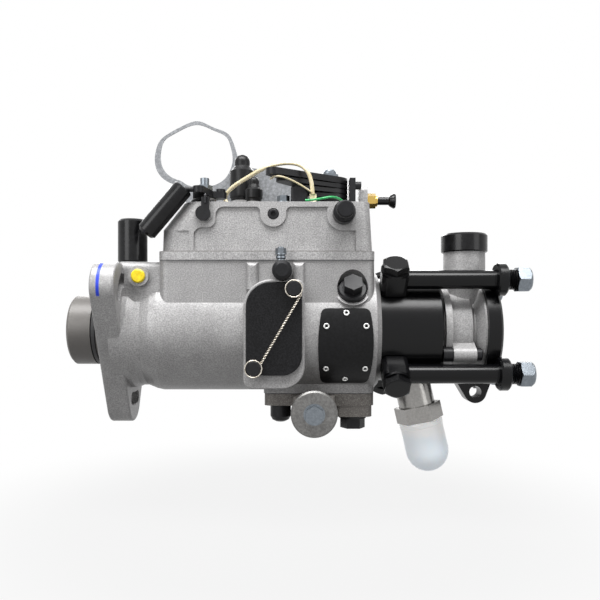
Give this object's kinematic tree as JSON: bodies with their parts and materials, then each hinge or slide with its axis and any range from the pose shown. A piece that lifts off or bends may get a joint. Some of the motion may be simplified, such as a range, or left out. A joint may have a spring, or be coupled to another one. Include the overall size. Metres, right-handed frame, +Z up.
{
  "type": "rotary distributor diesel injection pump",
  "caption": "Cast pump with a slotted flange and pilot, governor cover with levers, banjo delivery pipes to a rear ring, inlet boss, advance unit and drain union.",
  "frame": {"origin": "on the drive axis at the flange's mounting face", "axes": "+X along the drive axis from the mounting face to the outlets, +Z up through the governor cover, -Y the side with the inspection cover"},
  "size_m": [0.295, 0.1084, 0.2414],
  "materials": {
    "cast_aluminium": "cast, blasted",
    "cover_aluminium": "cast, satin",
    "black_steel": "black, satin",
    "zinc_steel": "zinc plated",
    "machine_steel": "ground",
    "phosphated_steel": "dark phosphated",
    "advance_casting": "cast, oil stained",
    "brass": "turned",
    "bronze": "turned",
    "black_rubber": "matte",
    "black_plastic": "moulded",
    "white_plastic": "translucent, moulded",
    "yellow_plastic": "moulded",
    "cream_nylon": "moulded",
    "green_insulation": "extruded",
    "gasket_fibre": "pressed fibre sheet",
    "plate_aluminium": "rolled sheet, black anodised"
  },
  "bodies": {
    "pump": {"pump_housing": "cast_aluminium", "seals": "black_rubber", "port_cap": "black_plastic", "port_plug": "yellow_plastic", "side_plugs": "black_steel", "bleed_screw": "zinc_steel", "inspection_cover": "black_steel", "inspection_screws": "black_steel", "nameplate": "plate_aluminium", "governor_cover": "cover_aluminium", "cover_gasket": "gasket_fibre", "cover_screws": "black_steel", "cover_top_screws": "zinc_steel", "screw_caps": "black_rubber", "brass_fitting": "brass", "fitting_plug": "black_plastic", "control_brackets": "black_steel", "cable_tie": "cream_nylon", "green_wire": "green_insulation", "mounting_gasket": "gasket_fibre", "advance_housing": "advance_casting", "advance_plugs": "black_steel", "advance_adjust_screw": "zinc_steel", "advance_bolts": "zinc_steel", "hydraulic_head": "phosphated_steel", "banjo_bolts": "phosphated_steel", "support_ring": "phosphated_steel", "end_plate": "cast_aluminium", "end_plate_screws": "black_steel", "drain_union": "zinc_steel", "shaft_bush": "bronze", "governor_bracket": "machine_steel", "delivery_pipe_1": "phosphated_steel", "delivery_pipe_2": "phosphated_steel", "delivery_pipe_3": "phosphated_steel", "delivery_pipe_4": "phosphated_steel"},
    "drive_line": {"drive_shaft": "machine_steel", "governor_cage": "machine_steel", "distributor_rotor": "machine_steel", "transfer_rotor": "machine_steel"},
    "thrust_sleeve": {"thrust_sleeve": "machine_steel"},
    "governor_arm": {"governor_arm": "machine_steel"},
    "linkage": {"linkage_rod": "machine_steel"},
    "metering_valve": {"metering_valve": "machine_steel"},
    "cam_ring": {"cam_ring": "machine_steel"},
    "advance_piston": {"advance_piston": "machine_steel"},
    "plunger_upper": {"plunger_upper": "machine_steel"},
    "plunger_lower": {"plunger_lower": "machine_steel"},
    "throttle": {"throttle_lever": "black_steel", "throttle_shaft": "zinc_steel"},
    "stop": {"stop_lever": "black_steel", "stop_lever_grip": "black_plastic", "stop_shaft": "zinc_steel"},
    "inlet_cap": {"inlet_cap": "black_plastic"},
    "union_cap": {"union_cap": "white_plastic"},
    "outlet_nuts": {"outlet_nuts": "zinc_steel"},
    "weight_1": {"governor_weight_1": "machine_steel"},
    "weight_2": {"governor_weight_2": "machine_steel"},
    "weight_3": {"governor_weight_3": "machine_steel"},
    "weight_4": {"governor_weight_4": "machine_steel"}
  },
  "joints": [
    {"name": "drive_spin", "type": "hinge", "parent": "pump", "child": "drive_line", "pos_m": [0, 0, 0], "axis": [1, 0, 0], "continuous": true},
    {"name": "sleeve_slide", "type": "slide", "parent": "pump", "child": "thrust_sleeve", "axis": [1, 0, 0], "range_m": [0, 0.0021]},
    {"name": "weight_1_swing", "type": "hinge", "parent": "drive_line", "child": "weight_1", "pos_m": [0.04, 0, 0.021], "axis": [0, -1, 0], "range_deg": [0, 13.1]},
    {"name": "weight_2_swing", "type": "hinge", "parent": "drive_line", "child": "weight_2", "pos_m": [0.04, -0.021, 0], "axis": [0, 0, -1], "range_deg": [0, 13.1]},
    {"name": "weight_3_swing", "type": "hinge", "parent": "drive_line", "child": "weight_3", "pos_m": [0.04, 0, -0.021], "axis": [0, 1, 0], "range_deg": [0, 13.1]},
    {"name": "weight_4_swing", "type": "hinge", "parent": "drive_line", "child": "weight_4", "pos_m": [0.04, 0.021, 0], "axis": [0, 0, 1], "range_deg": [0, 13.1]},
    {"name": "governor_arm_tilt", "type": "hinge", "parent": "pump", "child": "governor_arm", "pos_m": [0.07275, 0, 0.022], "axis": [0, -1, 0], "range_deg": [0, 5.5]},
    {"name": "linkage_slide", "type": "slide", "parent": "pump", "child": "linkage", "axis": [-1, 0, 0], "range_m": [0, 0.0026]},
    {"name": "metering_valve_turn", "type": "hinge", "parent": "pump", "child": "metering_valve", "pos_m": [0.158, -0.01, 0.03], "axis": [0, 0, 1], "range_deg": [0, 14.9]},
    {"name": "cam_ring_turn", "type": "hinge", "parent": "pump", "child": "cam_ring", "pos_m": [0.1345, 0, 0], "axis": [1, 0, 0], "range_deg": [-4, 4]},
    {"name": "advance_piston_slide", "type": "slide", "parent": "pump", "child": "advance_piston", "axis": [0, 1, 0], "range_m": [-0.0036, 0.0036]},
    {"name": "plunger_upper_slide", "type": "slide", "parent": "drive_line", "child": "plunger_upper", "axis": [0, 0, 1], "range_m": [0, 0.0018]},
    {"name": "plunger_lower_slide", "type": "slide", "parent": "drive_line", "child": "plunger_lower", "axis": [0, 0, -1], "range_m": [0, 0.0018]},
    {"name": "throttle_lever_turn", "type": "hinge", "parent": "pump", "child": "throttle", "pos_m": [0.146, 0, 0.09], "axis": [0, 0, 1], "range_deg": [-15, 4]},
    {"name": "stop_lever_turn", "type": "hinge", "parent": "pump", "child": "stop", "pos_m": [0.0638, -0.014, 0.087], "axis": [0, 0, 1], "range_deg": [0, 18]},
    {"name": "inlet_cap_pull", "type": "slide", "parent": "pump", "child": "inlet_cap", "axis": [0, 0, 1], "range_m": [0, 0.025]},
    {"name": "union_cap_pull", "type": "slide", "parent": "pump", "child": "union_cap", "axis": [0.2215, 0, -0.9751], "range_m": [0, 0.03]},
    {"name": "outlet_nuts_unscrew", "type": "slide", "parent": "pump", "child": "outlet_nuts", "axis": [1, 0, 0], "range_m": [0, 0.02]}
  ],
  "couplings": [
    {"joint": "weight_1_swing", "follows": "sleeve_slide", "rad_per_m": 108.04},
    {"joint": "weight_2_swing", "follows": "sleeve_slide", "rad_per_m": 108.04},
    {"joint": "weight_3_swing", "follows": "sleeve_slide", "rad_per_m": 108.04},
    {"joint": "weight_4_swing", "follows": "sleeve_slide", "rad_per_m": 108.04},
    {"joint": "governor_arm_tilt", "follows": "sleeve_slide", "rad_per_m": 45.45},
    {"joint": "linkage_slide", "follows": "sleeve_slide", "ratio": 1.2273},
    {"joint": "metering_valve_turn", "follows": "sleeve_slide", "rad_per_m": 122.73},
    {"joint": "advance_piston_slide", "follows": "cam_ring_turn", "m_per_rad": 0.0507},
    {"joint": "plunger_lower_slide", "follows": "plunger_upper_slide", "ratio": 1}
  ]
}
